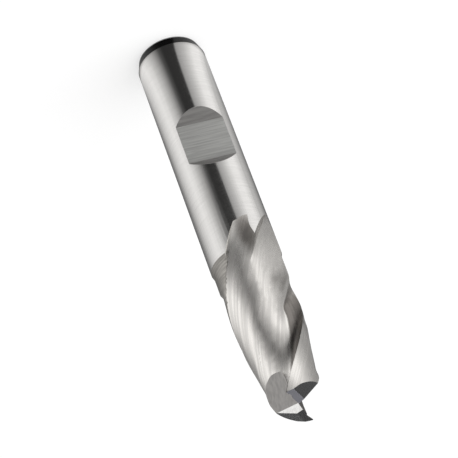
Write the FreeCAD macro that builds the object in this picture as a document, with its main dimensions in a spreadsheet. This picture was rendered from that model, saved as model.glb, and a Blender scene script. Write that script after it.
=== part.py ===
import FreeCAD, Part
import Sketcher
import math
import os

# Two-flute slot drill in one piece, millimetres, standing on the end of its shank.
# Z runs from the shank end up to the teeth. The clamping flat faces -Y.

V = FreeCAD.Vector
doc = FreeCAD.newDocument("SlotDrill")
sheet = doc.addObject("Spreadsheet::Sheet", "Sizes")

# Every size is written here once, lengths in millimetres and angles in degrees.
sizes = [
    ("overall_len", 73.5), ("shank_dia", 12.0), ("shank_len", 45.5), ("cut_dia", 11.5),
    ("end_chamfer_len", 1.9), ("end_chamfer_radial", 0.6),
    ("step_cone_len", 0.8), ("ring_depth", 0.05), ("ring_pitch", 0.5),
    ("flat_across", 10.4), ("flat_len", 8.0), ("flat_centre", 22.5),
    ("flat_wall_angle", 37.0), ("flat_foot_round", 0.6),
    ("helix_angle", 31.0), ("edge_angle", 25.4),
    ("rake_angle", 12.0), ("core_radius", 3.0), ("flute_full_len", 18.0),
    ("flute_wheel_radius", 110.0), ("flute_wheel_tilt", 31.0), ("flute_open_angle", 56.0),
    ("flute_wall_radius", 3.95), ("flute_wall_place", 92.0), ("flute_wall_lean", 45.0),
    ("margin_width", 0.06), ("primary_width", 0.55), ("primary_angle", 9.0),
    ("secondary_width", 2.1), ("secondary_angle", 21.0), ("before_angle", 72.0),
    ("back_start_radius", 4.85), ("back_start_angle", 46.0),
    ("heel_radius", 4.37), ("heel_angle", 74.0), ("back_end_radius", 3.98), ("back_end_angle", 88.0),
    ("relief_full_len", 30.9), ("relief_wheel_radius", 7.0), ("relief_end_lag", 2.2),
    ("dish_angle", 2.0), ("end_primary_width", 1.2), ("end_primary_angle", 8.0),
    ("end_secondary_angle", 22.0), ("edge_offset", 0.12),
    ("gash_angle", 35.5), ("gash_turn", 22.0), ("gash_round", 0.5),
    ("gash_start", -0.2), ("gash_drop", 0.5),
    ("short_tooth_start", 1.5), ("centre_facet_angle", 22.0), ("centre_facet_side", 16.0),
]
for row, (name, value) in enumerate(sizes, start=1):
    sheet.set("A%d" % row, name)
    sheet.set("B%d" % row, str(value))
    sheet.setAlias("B%d" % row, name)
doc.recompute()


def size(name):
    return float(sheet.get(name))


def angle(name):
    return math.radians(size(name))


length = size("overall_len")
cut_radius = size("cut_dia") / 2
shank_radius = size("shank_dia") / 2
twist = math.tan(angle("helix_angle")) / cut_radius


def place(x, y, z, turn):
    # A point given across a tooth: x outward through the cutting edge, y behind the edge.
    return V(x * math.cos(turn) + y * math.sin(turn), x * math.sin(turn) - y * math.cos(turn), z)


def edge_turn(z):
    return math.radians(size("edge_angle") - 90) + twist * (z - length)


# Turned blank: chamfered shank, cone down to the cutting diameter, two fine tool marks below it.
blank = doc.addObject("PartDesign::Body", "Blank")
xz_plane = [f for f in blank.Origin.OriginFeatures if f.Role == "XZ_Plane"][0]
yz_plane = [f for f in blank.Origin.OriginFeatures if f.Role == "YZ_Plane"][0]


def new_sketch(name, plane):
    sketch = blank.newObject("Sketcher::SketchObject", name)
    sketch.AttachmentSupport = (plane, [""])
    sketch.MapMode = "FlatFace"
    return sketch


def bound_value(formula):
    return float(sheet.evalExpression(formula))


def bind_point(sketch, line, end, across, up, sign):
    # Ties one end of a line to the sheet, measured from the axis and from the shank end.
    for kind, formula, forward in (("DistanceX", across, sign > 0), ("DistanceY", up, True)):
        if formula == "0":
            sketch.addConstraint(Sketcher.Constraint("PointOnObject", line, end, -2 if kind == "DistanceX" else -1))
            continue
        ends = (-1, 1, line, end) if forward else (line, end, -1, 1)
        number = sketch.addConstraint(Sketcher.Constraint(kind, *ends, bound_value(formula)))
        sketch.setExpression("Constraints[%d]" % number, formula)


chamfer_radius = "Sizes.shank_dia / 2 - Sizes.end_chamfer_radial"
shank_side = "Sizes.shank_dia / 2"
cut_side = "Sizes.cut_dia / 2"
ring_side = "Sizes.cut_dia / 2 - Sizes.ring_depth"
cone_foot = "Sizes.shank_len + Sizes.step_cone_len"
outline = [
    ("0", "0"), (chamfer_radius, "0"), (shank_side, "Sizes.end_chamfer_len"), (shank_side, "Sizes.shank_len"),
    (cut_side, cone_foot), (cut_side, cone_foot + " + Sizes.ring_pitch"),
    (ring_side, cone_foot + " + 1.4 * Sizes.ring_pitch"), (cut_side, cone_foot + " + 1.8 * Sizes.ring_pitch"),
    (cut_side, cone_foot + " + 2.4 * Sizes.ring_pitch"), (ring_side, cone_foot + " + 2.8 * Sizes.ring_pitch"),
    (cut_side, cone_foot + " + 3.2 * Sizes.ring_pitch"), (cut_side, "Sizes.overall_len"), ("0", "Sizes.overall_len"),
]
profile = new_sketch("TurnedProfile", xz_plane)
corners = [V(bound_value(across), bound_value(up), 0) for across, up in outline]
for start, end in zip(corners, corners[1:] + corners[:1]):
    profile.addGeometry(Part.LineSegment(start, end), False)
for line, (across, up) in enumerate(outline):
    profile.addConstraint(Sketcher.Constraint("Coincident", line - 1 if line else len(outline) - 1, 2, line, 1))
    bind_point(profile, line, 1, across, up, 1)
turned = blank.newObject("PartDesign::Revolution", "Turned")
turned.Profile = profile
turned.ReferenceAxis = (profile, ["V_Axis"])
turned.Angle = 360
profile.Visibility = False
doc.recompute()
full_volume = turned.Shape.Volume

# Clamping flat: straight floor, end walls leaning outward from a small round at their foot.
floor_depth = "(Sizes.flat_across - Sizes.shank_dia / 2)"
wall_slope = "(Sizes.flat_wall_angle * 1 deg)"
foot_reach = "Sizes.flat_foot_round * tan(Sizes.flat_wall_angle * 0.5 deg)"
wall_rise = "(Sizes.shank_dia - Sizes.flat_across + 1)"
flat_sketch = new_sketch("FlatProfile", yz_plane)


def flat_corner(out, side, along):
    # The formulas of a corner: how far from the axis, and how far up the shank.
    return floor_depth + " + " + out, "Sizes.flat_centre %s (%s)" % (side, along)


def flat_wall(side):
    foot_start = flat_corner("0", side, "Sizes.flat_len / 2 - " + foot_reach)
    foot_end = flat_corner("%s * sin%s" % (foot_reach, wall_slope), side,
                           "Sizes.flat_len / 2 + %s * cos%s" % (foot_reach, wall_slope))
    top = flat_corner(wall_rise, side, "Sizes.flat_len / 2 + %s / tan%s" % (wall_rise, wall_slope))
    return foot_start, foot_end, top


def flat_point(corner):
    return V(-bound_value(corner[0]), bound_value(corner[1]), 0)


low_start, low_end, low_top = flat_wall("-")
high_start, high_end, high_top = flat_wall("+")
for a, b in ((low_start, high_start), (high_end, high_top), (high_top, low_top), (low_top, low_end)):
    flat_sketch.addGeometry(Part.LineSegment(flat_point(a), flat_point(b)), False)
    line = flat_sketch.GeometryCount - 1
    bind_point(flat_sketch, line, 1, a[0], a[1], -1)
    bind_point(flat_sketch, line, 2, b[0], b[1], -1)
for foot_start, foot_end, side in ((high_start, high_end, 1), (low_start, low_end, -1)):
    first, last = flat_point(foot_start), flat_point(foot_end)
    foot_turn = math.radians(bound_value("Sizes.flat_wall_angle"))
    foot_round = bound_value("Sizes.flat_foot_round")
    middle = first + V(-foot_round * (1 - math.cos(foot_turn / 2)), side * foot_round * math.sin(foot_turn / 2), 0)
    arc = flat_sketch.addGeometry(Part.Arc(first, middle, last), False)
    swapped = flat_sketch.getPoint(arc, 1).distanceToPoint(first) > 1e-6
    floor_end = (0, 2) if side > 0 else (0, 1)
    wall_end = (1, 1) if side > 0 else (3, 2)
    flat_sketch.addConstraint(Sketcher.Constraint("Coincident", arc, 2 if swapped else 1, *floor_end))
    flat_sketch.addConstraint(Sketcher.Constraint("Coincident", arc, 1 if swapped else 2, *wall_end))
    number = flat_sketch.addConstraint(Sketcher.Constraint("Radius", arc, foot_round))
    flat_sketch.setExpression("Constraints[%d]" % number, "Sizes.flat_foot_round")
flat_cut = blank.newObject("PartDesign::Pocket", "ClampingFlat")
flat_cut.Profile = flat_sketch
flat_cut.Midplane = True
flat_cut.Type = "Length"
flat_cut.setExpression("Length", "Sizes.shank_dia * 2")
flat_sketch.Visibility = False
blank.Tip = flat_cut
doc.recompute()
assert flat_cut.Shape.Volume < full_volume


def closed_wire(curve, outer):
    # A face curve closed round the outside by straight edges.
    shape = [curve.toShape()]
    points = [curve.EndPoint] + outer + [curve.StartPoint]
    for a, b in zip(points, points[1:]):
        shape.append(Part.LineSegment(a, b).toShape())
    return Part.Wire(shape)


def spline(points):
    curve = Part.BSplineCurve()
    curve.interpolate(points)
    return curve


# Flute: the wheel follows the helix, then leaves in a straight line slightly across the axis,
# while the round of the wheel lifts its profile out of the metal.
rake = angle("rake_angle")
core = size("core_radius")


def polar(radius, degrees):
    # Degrees are counted from the cutting edge, to the rear positive and ahead negative.
    turn = math.radians(degrees)
    return (radius * math.cos(turn), radius * math.sin(turn))


def flute_curve():
    # From outside the cutting edge, down the rake face, past the core and straight out again.
    face = [(cut_radius - t * math.cos(rake), t * math.sin(rake)) for t in (-2.4, -1.2, 0.0, 1.0)]
    face += [(core + 0.95, 0.28), (core + 0.35, 0.14)]
    floor = [(core + 0.02, -0.35), (core - 0.03, -0.95), polar(core * 1.10, -29), polar(core * 1.10, -42),
             polar(core * 1.12, -57)]
    wall_place = size("flute_wall_place")
    wall_radius = size("flute_wall_radius")
    foot_point = polar(wall_radius, -wall_place)
    out_x, out_y = polar(1, -wall_place - size("flute_wall_lean"))
    wall = [(foot_point[0] + t * out_x, foot_point[1] + t * out_y) for t in (0.0, 1.0, 2.5, 4.5)]
    return face + floor + [polar(core * 1.18, -wall_place + 18)] + wall


full_flute_z = length - size("flute_full_len")
lift_x, lift_y = polar(1, -size("flute_open_angle"))
drift = math.tan(angle("flute_wheel_tilt"))
wheel = size("flute_wheel_radius")


def flute_section(z):
    gone = max(0.0, full_flute_z - z)
    turn = edge_turn(max(z, full_flute_z))
    lift = wheel - math.sqrt(wheel ** 2 - gone ** 2)
    dx = lift * lift_x - gone * drift * lift_y
    dy = lift * lift_y + gone * drift * lift_x
    curve = spline([place(x + dx, y + dy, z, turn) for x, y in flute_curve()])
    outer = [place(x + dx, y + dy, z, turn) for x, y in (polar(11, -110), polar(11.5, -70), polar(10.5, -30))]
    return closed_wire(curve, outer)


def heights(top, full, bottom):
    # Even heights down the helix, then closer ones through the run-out.
    first = [top - (top - full) * k / 10 for k in range(10)]
    second = [full - (full - bottom) * k / 12 for k in range(13)]
    return first + second


def lofted(sections):
    return Part.makeLoft(sections, True, False)


flute_top = length + 2.0
flute_solid = lofted([flute_section(z) for z in heights(flute_top, full_flute_z, full_flute_z - 22)])

# Relief behind each cutting edge: a narrow face, a wider face and a rounded back. The small
# relief wheel lifts out at its end, first over the back and last over the cutting edge.
margin = size("margin_width")
start_x = math.sqrt(cut_radius ** 2 - margin ** 2)
slope = (angle("primary_angle"), angle("secondary_angle"))
second_width = size("secondary_width") - size("primary_width")
first_corner = (start_x - size("primary_width") * math.sin(slope[0]),
                margin + size("primary_width") * math.cos(slope[0]))
second_corner = (first_corner[0] - second_width * math.sin(slope[1]),
                 first_corner[1] + second_width * math.cos(slope[1]))
before = (start_x + 3 * math.sin(angle("before_angle")), margin - 3 * math.cos(angle("before_angle")))
relief_wheel = size("relief_wheel_radius")
corner_arc = cut_radius * math.atan2(second_corner[1], second_corner[0])


def relief_lift(point, z):
    arc = cut_radius * math.atan2(point[1], point[0])
    full_len = size("relief_full_len") - size("relief_end_lag") * max(0.0, arc - corner_arc)
    gone = max(0.0, length - z - full_len)
    return gone ** 2 / (2 * relief_wheel) if gone < 5 else (10 * gone - 25) / (2 * relief_wheel)


def relief_section(z):
    turn = edge_turn(z)

    def at(point):
        grow = 1 + relief_lift(point, z) / math.hypot(point[0], point[1])
        return place(point[0] * grow, point[1] * grow, z, turn)

    heel_angle = size("heel_angle")
    heel_radius = size("heel_radius")
    end_angle = size("back_end_angle")
    end_radius = size("back_end_radius")
    back = [second_corner, polar(size("back_start_radius"), size("back_start_angle")),
            polar(heel_radius * 1.045, heel_angle - 14), polar(heel_radius, heel_angle),
            polar((heel_radius + end_radius) / 2 + 0.03, (heel_angle + end_angle) / 2),
            polar(end_radius, end_angle), polar(end_radius * 0.99, end_angle + 10)]
    curve = spline([at(point) for point in back])
    away = (back[-1][0] - 1.4, back[-1][1] + 6)
    outer = [at(away), at((8, 8)), at((before[0] + 2.5, before[1] + 2)), at(before),
             at((start_x, margin)), at(first_corner)]
    return closed_wire(curve, outer)


def relief_heights():
    bottom = length - size("relief_full_len") - 6
    levels = [flute_top - 2 * k for k in range(10)]
    steps = int((levels[-1] - bottom) / 0.8)
    return levels + [levels[-1] - (levels[-1] - bottom) * (k + 1) / steps for k in range(steps)]


relief_solid = lofted([relief_section(z) for z in relief_heights()])

# End teeth. Distances are taken at the tip: x outward along the end edge, y behind it.
tip_turn = edge_turn(length)
dish = math.tan(angle("dish_angle"))
offset = size("edge_offset")


def tip_point(x, y, drop):
    return place(x, y, length - drop, tip_turn)


def prism(points, along):
    return Part.Face(Part.makePolygon(points + [points[0]])).extrude(along)


# End relief: a narrow face and a steeper one behind the end edge, dished towards the middle.
far = 9.0
width = size("end_primary_width")
first_drop = width * math.tan(angle("end_primary_angle"))
last_drop = first_drop + (far - width) * math.tan(angle("end_secondary_angle"))
rim = -(far - cut_radius) * dish
end_profile = [(0, -4), (0, 0), (offset + width, first_drop), (far, last_drop), (far, -4)]
end_solid = prism([tip_point(far, y, drop + rim) for y, drop in end_profile],
                  tip_point(-far, 0, far * dish) - tip_point(far, 0, -far * dish))

# Gash: a wall along the end edge and a sloping floor, with a small round where they meet.
fall = 1 / math.tan(angle("gash_angle"))
gash_turn = angle("gash_turn")
origin = tip_point(size("gash_start"), offset, size("gash_drop"))


def tip_vector(x, y, drop):
    return tip_point(x, y, drop) - tip_point(0, 0, 0)


bottom_line = tip_vector(1, 0, fall * math.cos(gash_turn)).normalize()
wall_side = tip_vector(0, 1, 0)
up_wall = bottom_line.cross(wall_side).normalize()
if up_wall.z < 0:
    up_wall = up_wall * -1
floor_normal = tip_vector(fall * math.cos(gash_turn), -fall * math.sin(gash_turn), -1).normalize()
along_floor = bottom_line.cross(floor_normal).normalize()
if along_floor.dot(wall_side) > 0:
    along_floor = along_floor * -1
corner_half = up_wall.getAngle(along_floor) / 2
bisector = (up_wall + along_floor).normalize()
gash_round = size("gash_round")
reach = gash_round / math.tan(corner_half)
inner = bisector * (gash_round / math.sin(corner_half) - gash_round)
start = origin - bottom_line * 16
arc = Part.Arc(start + up_wall * reach, start + inner, start + along_floor * reach).toShape()
ends = [start + along_floor * reach, start + along_floor * 22, start + along_floor * 22 + up_wall * 22,
        start + up_wall * 22, start + up_wall * reach]
gash_edges = [arc] + [Part.LineSegment(a, b).toShape() for a, b in zip(ends, ends[1:])]
gash_solid = Part.Face(Part.Wire(gash_edges)).extrude(bottom_line * 34)

# Middle facet: the gash of the long tooth goes on across the middle and shortens the other edge.
from_x = -size("short_tooth_start")
down_x = math.tan(angle("centre_facet_angle"))
down_y = math.tan(angle("centre_facet_side"))
begin_drop = (cut_radius + from_x) * dish
facet_points = []
for x, y in ((from_x - 1, offset), (4, offset), (4, -7), (from_x - 1, -7)):
    facet_points.append(tip_point(x, y, begin_drop + (x - from_x) * down_x - y * down_y))
facet_solid = prism(facet_points, V(0, 0, 6))

# The tools are taken from the blank one after the other, each one also half a turn round.
half_turn = FreeCAD.Rotation(V(0, 0, 1), 180)
current = blank
cutters = [("Flute", flute_solid, True), ("Relief", relief_solid, True), ("EndRelief", end_solid, True),
           ("Gash", gash_solid, True), ("MiddleFacet", facet_solid, False)]
for name, solid, twice in cutters:
    turns = [FreeCAD.Rotation(), half_turn] if twice else [FreeCAD.Rotation()]
    for count, rotation in enumerate(turns, start=1):
        tool = doc.addObject("Part::Feature", "%sTool%d" % (name, count))
        tool.Shape = solid
        tool.Placement = FreeCAD.Placement(V(0, 0, 0), rotation)
        step = doc.addObject("Part::Cut", "%sCut%d" % (name, count))
        step.Base = current
        step.Tool = tool
        step.Refine = False
        current = step
current.Label = "slot_drill"
doc.recompute()

for item in doc.Objects:
    assert "Invalid" not in item.State and "Error" not in item.State, item.Name
drill = current.Shape
assert not drill.isNull() and drill.isValid() and len(drill.Solids) == 1
print("slot_drill volume mm3", round(drill.Volume, 1), "faces", len(drill.Faces))

os.makedirs("parts", exist_ok=True)
drill.exportStep("parts/slot_drill.step")
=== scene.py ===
import math

import bmesh
import bpy
import numpy as np
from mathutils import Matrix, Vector


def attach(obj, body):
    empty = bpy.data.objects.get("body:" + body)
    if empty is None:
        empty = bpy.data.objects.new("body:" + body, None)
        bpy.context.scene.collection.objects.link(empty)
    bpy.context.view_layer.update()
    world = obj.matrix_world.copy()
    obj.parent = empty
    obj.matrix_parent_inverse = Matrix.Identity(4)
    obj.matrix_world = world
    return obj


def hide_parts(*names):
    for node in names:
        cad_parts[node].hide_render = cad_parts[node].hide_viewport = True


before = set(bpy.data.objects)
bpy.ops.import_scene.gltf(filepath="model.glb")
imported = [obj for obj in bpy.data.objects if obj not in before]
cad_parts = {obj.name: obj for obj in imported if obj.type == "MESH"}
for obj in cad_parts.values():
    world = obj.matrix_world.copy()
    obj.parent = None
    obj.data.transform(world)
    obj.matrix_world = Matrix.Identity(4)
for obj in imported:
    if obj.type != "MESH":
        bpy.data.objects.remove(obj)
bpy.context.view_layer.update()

# The drill: one bar of high-speed steel, turned to a stepped blank and ground all over.
# The flutes and the relief behind each cutting edge are ground in on the helix with a wheel,
# and the faces of the end teeth are ground last. Nothing is fixed to it.
drill_length = 0.0735
shank_radius = 0.006
shank_length = 0.0455
chamfer_length = 0.0019
flat_low, flat_high = 0.014, 0.030
flat_depth_from_axis = 0.0043
cut_radius = 0.00575
neck_low, neck_high = 0.0453, 0.060
teeth_low = 0.060
run_out_low = 0.036
helix_per_metre = math.tan(math.radians(31)) / cut_radius
edge_place = math.radians(25.4 - 90)
land_reach = math.radians(86)
crease = math.radians(16)
SHANK, SHANK_END, FLAT, FLAT_WALL, NECK, FLUTE, LAND, GASH, END_RELIEF, END_FACE, END_STRIP = range(11)


def facing_cut(spot, way):
    # How squarely a place faces the way the drill cuts: 1 on a rake face, 0 on the land.
    return (way.y * spot.x - way.x * spot.y) / max(math.hypot(spot.x, spot.y), 1e-9)


def ground_zone(face):
    # Which wheel or tool left this facet, from its place and the way it faces.
    spot = face.calc_center_median()
    way = face.normal
    reach = math.hypot(spot.x, spot.y)
    outward = (way.x * spot.x + way.y * spot.y) / max(reach, 1e-9)
    if spot.z < chamfer_length and outward < 0.985:
        return SHANK_END
    if spot.z < shank_length:
        inside_shank = outward < 0.9995 and reach < shank_radius - 0.00003
        if spot.y < -flat_depth_from_axis and flat_low < spot.z < flat_high and inside_shank:
            return FLAT if way.y < -0.97 else FLAT_WALL
        if reach > shank_radius - 0.0001 and outward > 0.99:
            return SHANK
    if reach > cut_radius - 0.00008 and outward > 0.9 and neck_low < spot.z < neck_high and abs(way.z) < 0.4:
        return NECK
    if spot.z > teeth_low and way.z > 0.42:
        if way.z < 0.75:
            return GASH
        if way.z < 0.91:
            return END_RELIEF
        return END_STRIP if way.z > 0.98 and spot.y < 0.0008 else END_FACE
    edge = edge_place + helix_per_metre * (spot.z - drill_length)
    behind = (edge - math.atan2(spot.y, spot.x)) % math.pi
    return LAND if behind < land_reach and facing_cut(spot, way) < 0.5 else FLUTE


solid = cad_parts["slot_drill"]
drill = bpy.data.objects.new("ground_drill", solid.data.copy())
bpy.context.collection.objects.link(drill)
drill.data.materials.clear()
grind = bmesh.new()
grind.from_mesh(drill.data)
bmesh.ops.remove_doubles(grind, verts=grind.verts, dist=3e-7)
bmesh.ops.dissolve_degenerate(grind, edges=grind.edges, dist=1e-7)
for face in grind.faces:
    face.smooth = True
for edge in grind.edges:
    edge.smooth = len(edge.link_faces) != 2 or edge.calc_face_angle(0) < crease
# The fluted end gets short facets, so that its shading and its zones run cleanly round the helix.
for longest in (0.004, 0.002, 0.001, 0.0007):
    long_edges = [edge for edge in grind.edges if edge.calc_length() > longest and
                  max(vert.co.z for vert in edge.verts) > run_out_low]
    bmesh.ops.subdivide_edges(grind, edges=long_edges, cuts=1)
    bmesh.ops.triangulate(grind, faces=grind.faces)
for face in grind.faces:
    face.material_index = ground_zone(face)
grind.verts.index_update()
grind.faces.index_update()


def wheel_surfaces():
    # Numbers the surfaces that sharp edges part from one another.
    surface = [-1] * len(grind.faces)
    count = 0
    for first in grind.faces:
        if surface[first.index] >= 0:
            continue
        surface[first.index] = count
        open_faces = [first]
        while open_faces:
            face = open_faces.pop()
            for edge in face.edges:
                if not edge.smooth:
                    continue
                for other in edge.link_faces:
                    if surface[other.index] < 0:
                        surface[other.index] = count
                        open_faces.append(other)
        count += 1
    return surface


def untwisted(ways, heights, sense):
    # Turns directions about the axis, so that one line of the helix has one direction all along.
    turn = -sense * helix_per_metre * heights
    c, s = np.cos(turn), np.sin(turn)
    return np.stack([c * ways[:, 0] - s * ways[:, 1], s * ways[:, 0] + c * ways[:, 1], ways[:, 2]], 1)


def unit_rows(ways):
    return ways / np.maximum(np.linalg.norm(ways, axis=1, keepdims=True), 1e-12)


def polished_normals(rounds, across):
    # The wheel runs along the helix, so the surface's direction is evened out along it, in so
    # many rounds, and a little across it. Each corner belongs to one surface and one vertex.
    surface = wheel_surfaces()
    corner_of = {}
    corners = []
    for face in grind.faces:
        for vert in face.verts:
            key = (surface[face.index], vert.index)
            if key not in corner_of:
                corner_of[key] = len(corners)
                corners.append(vert)
    ways = np.zeros((len(corners), 3))
    for face in grind.faces:
        for loop in face.loops:
            ways[corner_of[(surface[face.index], loop.vert.index)]] += np.array(face.normal) * loop.calc_angle()
    ways = unit_rows(ways)
    spots = np.array([vert.co for vert in corners])
    pairs = set()
    for face in grind.faces:
        for edge in face.edges:
            if face.material_index in (FLUTE, LAND):
                ends = [corner_of[(surface[face.index], vert.index)] for vert in edge.verts]
                pairs.add((min(ends), max(ends)))
    pairs = np.array(sorted(pairs))
    step = spots[pairs[:, 1]] - spots[pairs[:, 0]]
    gap = np.linalg.norm(step, axis=1)
    middle = (spots[pairs[:, 1]] + spots[pairs[:, 0]]) / 2
    along = np.stack([-middle[:, 1] * helix_per_metre, middle[:, 0] * helix_per_metre, np.ones(len(middle))], 1)
    share = (np.abs((step * unit_rows(along)).sum(1)) / np.maximum(gap, 1e-9)) ** 4 + across
    turned = untwisted(ways, spots[:, 2], 1)
    for count in range(rounds):
        total = turned * 0.5
        weight = np.full(len(corners), 0.5)
        for near, far in ((0, 1), (1, 0)):
            np.add.at(total, pairs[:, near], turned[pairs[:, far]] * share[:, None])
            np.add.at(weight, pairs[:, near], share)
        turned = unit_rows(total / weight[:, None])
    ways = untwisted(turned, spots[:, 2], -1)
    return [ways[corner_of[(surface[face.index], loop.vert.index)]] for face in grind.faces for loop in face.loops]


def portion(value, start, end):
    return min(max((value - start) / (end - start), 0), 1)


def eased(value):
    return value * value * (3 - 2 * value)


def rake_shade_and_patch(vert):
    # Painted shade: the rake faces are darkened as though turned from the light, and a patch where each relief
    # ends on the shank is painted dark brown: 1 is bright.
    spot = vert.co
    rake = portion(facing_cut(spot, vert.normal), 0.20, 0.56) * portion(spot.z, 0.0475, 0.0545)
    relief_end_patch = 0
    for side in (1, -1):
        patch_x, patch_y, patch_z = -side * 0.0007, -side * 0.0058, 0.0432
        off = math.hypot((spot.x - patch_x) / 0.0021, (spot.y - patch_y) / 0.0021, (spot.z - patch_z) / 0.0052)
        relief_end_patch = max(relief_end_patch, portion(off, 1.15, 0.35))
    return max(1 - 0.78 * eased(rake) - 0.74 * eased(relief_end_patch), 0.12)


normals = polished_normals(150, 0.02)
# Each vertex keeps its painted rake shade and its dark brown patch, for the flute and land finishes.
shade_map = grind.verts.layers.float.new("rake_shade_and_patch")
for vert in grind.verts:
    vert[shade_map] = rake_shade_and_patch(vert)
grind.to_mesh(drill.data)
grind.free()
drill.data.normals_split_custom_set([tuple(way) for way in normals])


def finish_nodes(name):
    # A new finish with its shader, ready for a grain.
    finish = bpy.data.materials.new(name)
    finish.use_nodes = True
    nodes = finish.node_tree.nodes
    return finish, nodes, finish.node_tree.links, nodes["Principled BSDF"]


def worked_out(nodes, kind, operation):
    # A Math or Vector Math node that does one sum.
    node = nodes.new(kind)
    node.operation = operation
    return node


def marks_up_the_helix(nodes, links, place):
    # The drill's coordinates untwisted, so that straight marks on them climb with the helix.
    parts = nodes.new("ShaderNodeSeparateXYZ")
    links.new(place, parts.inputs[0])
    turn = worked_out(nodes, "ShaderNodeMath", "MULTIPLY")
    turn.inputs[1].default_value = -helix_per_metre
    links.new(parts.outputs["Z"], turn.inputs[0])
    untwist = nodes.new("ShaderNodeVectorRotate")
    untwist.rotation_type = "Z_AXIS"
    links.new(place, untwist.inputs["Vector"])
    links.new(turn.outputs[0], untwist.inputs["Angle"])
    return untwist.outputs[0]


def smear_off_the_helix(nodes, links, place, shader):
    # The marks run round the axis as they climb; the smear lies a quarter turn from them.
    around = worked_out(nodes, "ShaderNodeVectorMath", "CROSS_PRODUCT")
    around.inputs[0].default_value = (0, 0, helix_per_metre)
    links.new(place, around.inputs[1])
    along = worked_out(nodes, "ShaderNodeVectorMath", "ADD")
    along.inputs[1].default_value = (0, 0, 1)
    links.new(around.outputs[0], along.inputs[0])
    unit = worked_out(nodes, "ShaderNodeVectorMath", "NORMALIZE")
    links.new(along.outputs[0], unit.inputs[0])
    links.new(unit.outputs[0], shader.inputs["Tangent"])
    shader.inputs["Anisotropic Rotation"].default_value = 0.25


def ground_steel(name, shade, dull, grain, depth, streak_shade, streak_dull, drawn=0.0, bare=1.0, helical=False):
    # Steel with wheel marks. grain is how many marks go into a metre along x, y and z, and depth
    # is theirs in metres. The marks are darker by streak_shade and rougher by streak_dull, drawn
    # is how far they smear a reflection, and bare is how much of it is bright metal.
    finish, nodes, links, shader = finish_nodes(name)
    shader.inputs["Metallic"].default_value = bare
    shader.inputs["Anisotropic"].default_value = drawn
    place = nodes.new("ShaderNodeTexCoord").outputs["Object"]
    spot = marks_up_the_helix(nodes, links, place) if helical else place
    if helical:
        smear_off_the_helix(nodes, links, place, shader)
    elif drawn:
        upright = nodes.new("ShaderNodeCombineXYZ")
        upright.inputs["Z"].default_value = 1.0
        links.new(upright.outputs[0], shader.inputs["Tangent"])
    stretch = nodes.new("ShaderNodeMapping")
    stretch.inputs["Scale"].default_value = grain
    links.new(spot, stretch.inputs["Vector"])
    marks = nodes.new("ShaderNodeTexNoise")
    marks.inputs["Scale"].default_value = 1.0
    marks.inputs["Detail"].default_value = 4.0
    marks.inputs["Roughness"].default_value = 0.6
    links.new(stretch.outputs[0], marks.inputs["Vector"])
    raised = nodes.new("ShaderNodeBump")
    raised.inputs["Strength"].default_value = 1.0
    raised.inputs["Distance"].default_value = depth
    links.new(marks.outputs["Fac"], raised.inputs["Height"])
    links.new(raised.outputs[0], shader.inputs["Normal"])
    in_mark, off_mark = 0.40, 0.60
    tone = nodes.new("ShaderNodeValToRGB")
    tone.color_ramp.elements[0].position = in_mark
    tone.color_ramp.elements[1].position = off_mark
    tone.color_ramp.elements[0].color = [c * (1 - streak_shade) for c in shade] + [1]
    tone.color_ramp.elements[1].color = list(shade) + [1]
    links.new(marks.outputs["Fac"], tone.inputs[0])
    colour = tone.outputs[0]
    # Painted shade: the base colour darkens to brown on the rake faces and on the patch at each relief's end.
    if helical:
        shade_map = nodes.new("ShaderNodeAttribute")
        shade_map.attribute_name = "rake_shade_and_patch"
        shade_ramp = nodes.new("ShaderNodeValToRGB")
        shade_ramp.color_ramp.elements[0].color = (0.045, 0.030, 0.020, 1)
        shade_ramp.color_ramp.elements[1].color = (1, 1, 1, 1)
        links.new(shade_map.outputs["Fac"], shade_ramp.inputs[0])
        toned = worked_out(nodes, "ShaderNodeVectorMath", "MULTIPLY")
        links.new(colour, toned.inputs[0])
        links.new(shade_ramp.outputs[0], toned.inputs[1])
        colour = toned.outputs[0]
    links.new(colour, shader.inputs["Base Color"])
    worn = nodes.new("ShaderNodeMapRange")
    worn.inputs["From Min"].default_value = in_mark
    worn.inputs["From Max"].default_value = off_mark
    worn.inputs["To Min"].default_value = dull + streak_dull
    worn.inputs["To Max"].default_value = dull
    links.new(marks.outputs["Fac"], worn.inputs["Value"])
    links.new(worn.outputs[0], shader.inputs["Roughness"])
    return finish


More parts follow.
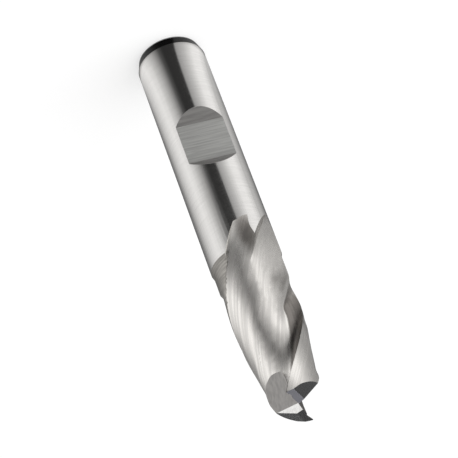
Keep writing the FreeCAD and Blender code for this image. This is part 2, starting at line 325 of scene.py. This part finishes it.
# Painted light and shade: the one steel gets a brighter base colour on faces that look lit, such as the flutes,
# lands and end relief, and a darker one on faces that look shaded, such as the chamfer, the flat's walls, the gash
# and the end faces.
finishes = [
    ground_steel("shank_ground", (0.82, 0.805, 0.785), 0.13, (300, 300, 9000), 1e-6, 0.06, 0.06, drawn=0.3),
    ground_steel("shank_end_turned", (0.34, 0.34, 0.34), 0.26, (600, 600, 9000), 4e-7, 0.10, 0.05),
    ground_steel("flat_milled", (0.64, 0.64, 0.62), 0.60, (140, 600, 3600), 4e-6, 0.20, 0.08, bare=0.5),
    ground_steel("flat_walls_milled", (0.37, 0.36, 0.35), 0.50, (160, 600, 2800), 4e-6, 0.22, 0.05, bare=0.6),
    ground_steel("neck_turned", (0.46, 0.44, 0.41), 0.32, (200, 200, 3600), 1.5e-6, 0.30, 0.08),
    ground_steel("flute_ground", (0.97, 0.94, 0.90), 0.22, (2200, 2200, 50), 3e-6, 0.16, 0.10, 0.4, helical=True),
    ground_steel("land_ground", (0.97, 0.94, 0.90), 0.24, (2200, 2200, 60), 3e-6, 0.18, 0.10, 0.4, helical=True),
    ground_steel("gash_ground", (0.60, 0.58, 0.56), 0.32, (3200, 900, 600), 3e-6, 0.18, 0.05),
    ground_steel("end_relief_ground", (0.92, 0.91, 0.89), 0.24, (3200, 900, 3200), 2e-6, 0.10, 0.05),
    ground_steel("end_ground", (0.52, 0.52, 0.53), 0.24, (3200, 900, 3200), 2e-6, 0.12, 0.05),
    ground_steel("end_strip_ground", (0.78, 0.78, 0.85), 0.50, (3200, 3200, 3200), 1e-6, 0.10, 0.05),
]
for finish in finishes:
    drill.data.materials.append(finish)
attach(drill, "root")
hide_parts("slot_drill")

# Floor: a wide white sweep of matt board that the drill stands on. It goes on white to the
# horizon, to the eye and in reflections, and keeps the drill's soft shadow.
floor_glow = 0.62
floor = bpy.data.objects.new("floor", bpy.data.meshes.new("floor"))
bpy.context.collection.objects.link(floor)
cut = bmesh.new()
bmesh.ops.create_grid(cut, x_segments=1, y_segments=1, size=6.0)
cut.to_mesh(floor.data)
cut.free()
floor_finish, nodes, links, shader = finish_nodes("white_sweep")
shader.inputs["Base Color"].default_value = (0.45, 0.45, 0.45, 1)
shader.inputs["Roughness"].default_value = 1.0
shader.inputs["Specular IOR Level"].default_value = 0.0
path = nodes.new("ShaderNodeLightPath")
seen = worked_out(nodes, "ShaderNodeMath", "MAXIMUM")
links.new(path.outputs["Is Camera Ray"], seen.inputs[0])
links.new(path.outputs["Is Glossy Ray"], seen.inputs[1])
seen_through = worked_out(nodes, "ShaderNodeMath", "MAXIMUM")
links.new(seen.outputs[0], seen_through.inputs[0])
links.new(path.outputs["Is Transmission Ray"], seen_through.inputs[1])
glow = worked_out(nodes, "ShaderNodeMath", "MULTIPLY")
glow.inputs[1].default_value = floor_glow
links.new(seen_through.outputs[0], glow.inputs[0])
shader.inputs["Emission Color"].default_value = (1, 1, 1, 1)
links.new(glow.outputs[0], shader.inputs["Emission Strength"])
floor.data.materials.append(floor_finish)


# Reflection card: bright metal shows only what stands round it. A disc on the floor, seen in
# reflections alone, carries the bright and dark fields that give the shank its bands. Its far
# part is softer, for the flutes, and close underfoot it carries a painted contact shadow.
def compass_angle(nodes, links, place):
    # Where a place lies round the drill, from 0 at -180 degrees to 1 at 180.
    parts = nodes.new("ShaderNodeSeparateXYZ")
    links.new(place, parts.inputs[0])
    angle = worked_out(nodes, "ShaderNodeMath", "ARCTAN2")
    links.new(parts.outputs["Y"], angle.inputs[0])
    links.new(parts.outputs["X"], angle.inputs[1])
    share = nodes.new("ShaderNodeMapRange")
    share.inputs["From Min"].default_value = -math.pi
    share.inputs["From Max"].default_value = math.pi
    links.new(angle.outputs[0], share.inputs["Value"])
    return share.outputs[0]


def grey_fields(nodes, links, angle, fields):
    # Grey fields round the drill, each given by its compass angle in degrees and its brightness.
    ramp = nodes.new("ShaderNodeValToRGB")
    links.new(angle, ramp.inputs[0])
    marks = ramp.color_ramp.elements
    marks.remove(marks[-1])
    for count, (degrees, light) in enumerate(fields):
        where = (degrees + 180) / 360
        mark = marks[0] if count == 0 else marks.new(where)
        mark.position = where
        mark.color = (light, light, light, 1)
    return ramp.outputs[0]


near_bands = [(-180, 0.68), (-158, 1.0), (-140, 0.97), (-118, 0.59), (-99, 0.36), (-96.5, 0.035), (-70, 0.03),
              (-60, 0.09), (-44, 0.43), (-23, 0.81), (-6, 0.97), (9, 0.87), (30, 0.64), (57, 0.24), (80, 0.12),
              (125, 0.12), (150, 0.35), (170, 0.57)]
far_bands = [(-180, 0.40), (-165, 0.44), (-150, 0.64), (-138, 0.96), (-122, 0.96), (-108, 0.55), (-96, 0.42),
             (-87, 0.30), (-80, 0.14), (-70, 0.13), (-60, 0.24), (-50, 0.42), (-40, 0.62), (-28, 0.92),
             (-10, 0.98), (9, 0.86), (22, 0.75), (40, 0.45), (57, 0.25), (80, 0.18), (125, 0.20), (150, 0.32)]
disc = bpy.data.objects.new("floor_card", bpy.data.meshes.new("floor_card"))
bpy.context.collection.objects.link(disc)
cut = bmesh.new()
bmesh.ops.create_circle(cut, cap_ends=True, segments=96, radius=1.2)
bmesh.ops.translate(cut, vec=(0, 0, 0.0002), verts=cut.verts)
cut.to_mesh(disc.data)
cut.free()
disc_finish = bpy.data.materials.new("banded_card")
disc_finish.use_nodes = True
nodes, links = disc_finish.node_tree.nodes, disc_finish.node_tree.links
nodes.clear()
place = nodes.new("ShaderNodeTexCoord").outputs["Object"]
angle = compass_angle(nodes, links, place)
out_from = worked_out(nodes, "ShaderNodeVectorMath", "LENGTH")
links.new(place, out_from.inputs[0])
# Painted contact shadow: the card dims to a fifth close round the drill's foot.
underfoot = nodes.new("ShaderNodeMapRange")
underfoot.inputs["From Min"].default_value = shank_radius + 0.0010
underfoot.inputs["From Max"].default_value = shank_radius + 0.0022
underfoot.inputs["To Min"].default_value = 0.20
links.new(out_from.outputs["Value"], underfoot.inputs["Value"])
far_out = nodes.new("ShaderNodeMapRange")
far_out.inputs["From Min"].default_value = 0.076
far_out.inputs["From Max"].default_value = 0.084
links.new(out_from.outputs["Value"], far_out.inputs["Value"])
near_or_far = nodes.new("ShaderNodeMixRGB")
links.new(far_out.outputs[0], near_or_far.inputs["Fac"])
links.new(grey_fields(nodes, links, angle, near_bands), near_or_far.inputs["Color1"])
links.new(grey_fields(nodes, links, angle, far_bands), near_or_far.inputs["Color2"])
shine = nodes.new("ShaderNodeEmission")
links.new(near_or_far.outputs[0], shine.inputs["Color"])
links.new(underfoot.outputs[0], shine.inputs["Strength"])
out = nodes.new("ShaderNodeOutputMaterial")
links.new(shine.outputs[0], out.inputs["Surface"])
disc.data.materials.append(disc_finish)
disc.visible_camera = False
disc.visible_diffuse = False
disc.visible_shadow = False
disc.visible_transmission = False
disc.visible_volume_scatter = False

# Studio light: one wide soft box of cloth overhead, which the metal doesn't mirror, in a plain
# pale room. The room's walls are white to the eye, and grey fields in reflections.
lamp_place = Vector((-0.5, -0.3, 1.1))
lamp_data = bpy.data.lights.new("soft_box", "AREA")
lamp_data.shape = "RECTANGLE"
lamp_data.size = 1.2
lamp_data.size_y = 1.2
lamp_data.energy = 9.0
lamp = bpy.data.objects.new("soft_box", lamp_data)
bpy.context.collection.objects.link(lamp)
lamp.location = lamp_place
lamp.rotation_euler = lamp_place.to_track_quat("Z", "Y").to_euler()
lamp.visible_glossy = False

wall_fields = [(-180, 0.6), (-150, 0.7), (-125, 0.4), (-102, 0.24), (-70, 0.24), (-45, 0.4), (-6, 0.45),
               (30, 0.8), (60, 1.0), (70, 0.9), (80, 0.07), (128, 0.07), (145, 0.4)]
room_light = 0.55
room = bpy.data.worlds.new("pale_room")
bpy.context.scene.world = room
room.use_nodes = True
nodes, links = room.node_tree.nodes, room.node_tree.links
background = nodes["Background"]
angle = compass_angle(nodes, links, nodes.new("ShaderNodeTexCoord").outputs["Generated"])
path = nodes.new("ShaderNodeLightPath")
white_or_walls = nodes.new("ShaderNodeMixRGB")
white_or_walls.inputs["Color1"].default_value = (1, 1, 1, 1)
links.new(path.outputs["Is Glossy Ray"], white_or_walls.inputs["Fac"])
links.new(grey_fields(nodes, links, angle, wall_fields), white_or_walls.inputs["Color2"])
links.new(white_or_walls.outputs[0], background.inputs["Color"])
level = nodes.new("ShaderNodeMapRange")
level.inputs["To Min"].default_value = 1.0
level.inputs["To Max"].default_value = room_light
links.new(path.outputs["Is Diffuse Ray"], level.inputs["Value"])
links.new(level.outputs[0], background.inputs["Strength"])

# Camera: a long lens above the drill, turned so that the teeth point down to the right.
# Its place and turn come from fitting the shank, the flat and the end teeth to the photograph.
lens = bpy.data.cameras.new("camera")
lens.sensor_width = 36.0
lens.lens = 175.2
lens.clip_start = 0.01
lens.clip_end = 50
camera = bpy.data.objects.new("camera", lens)
bpy.context.collection.objects.link(camera)
camera.location = (0.0633085, -0.2958115, 0.2418452)
camera.rotation_euler = [math.radians(v) for v in (-54.2468, -16.8889, -179.8614)]
bpy.context.scene.camera = camera
bpy.context.scene.view_settings.view_transform = "Standard"
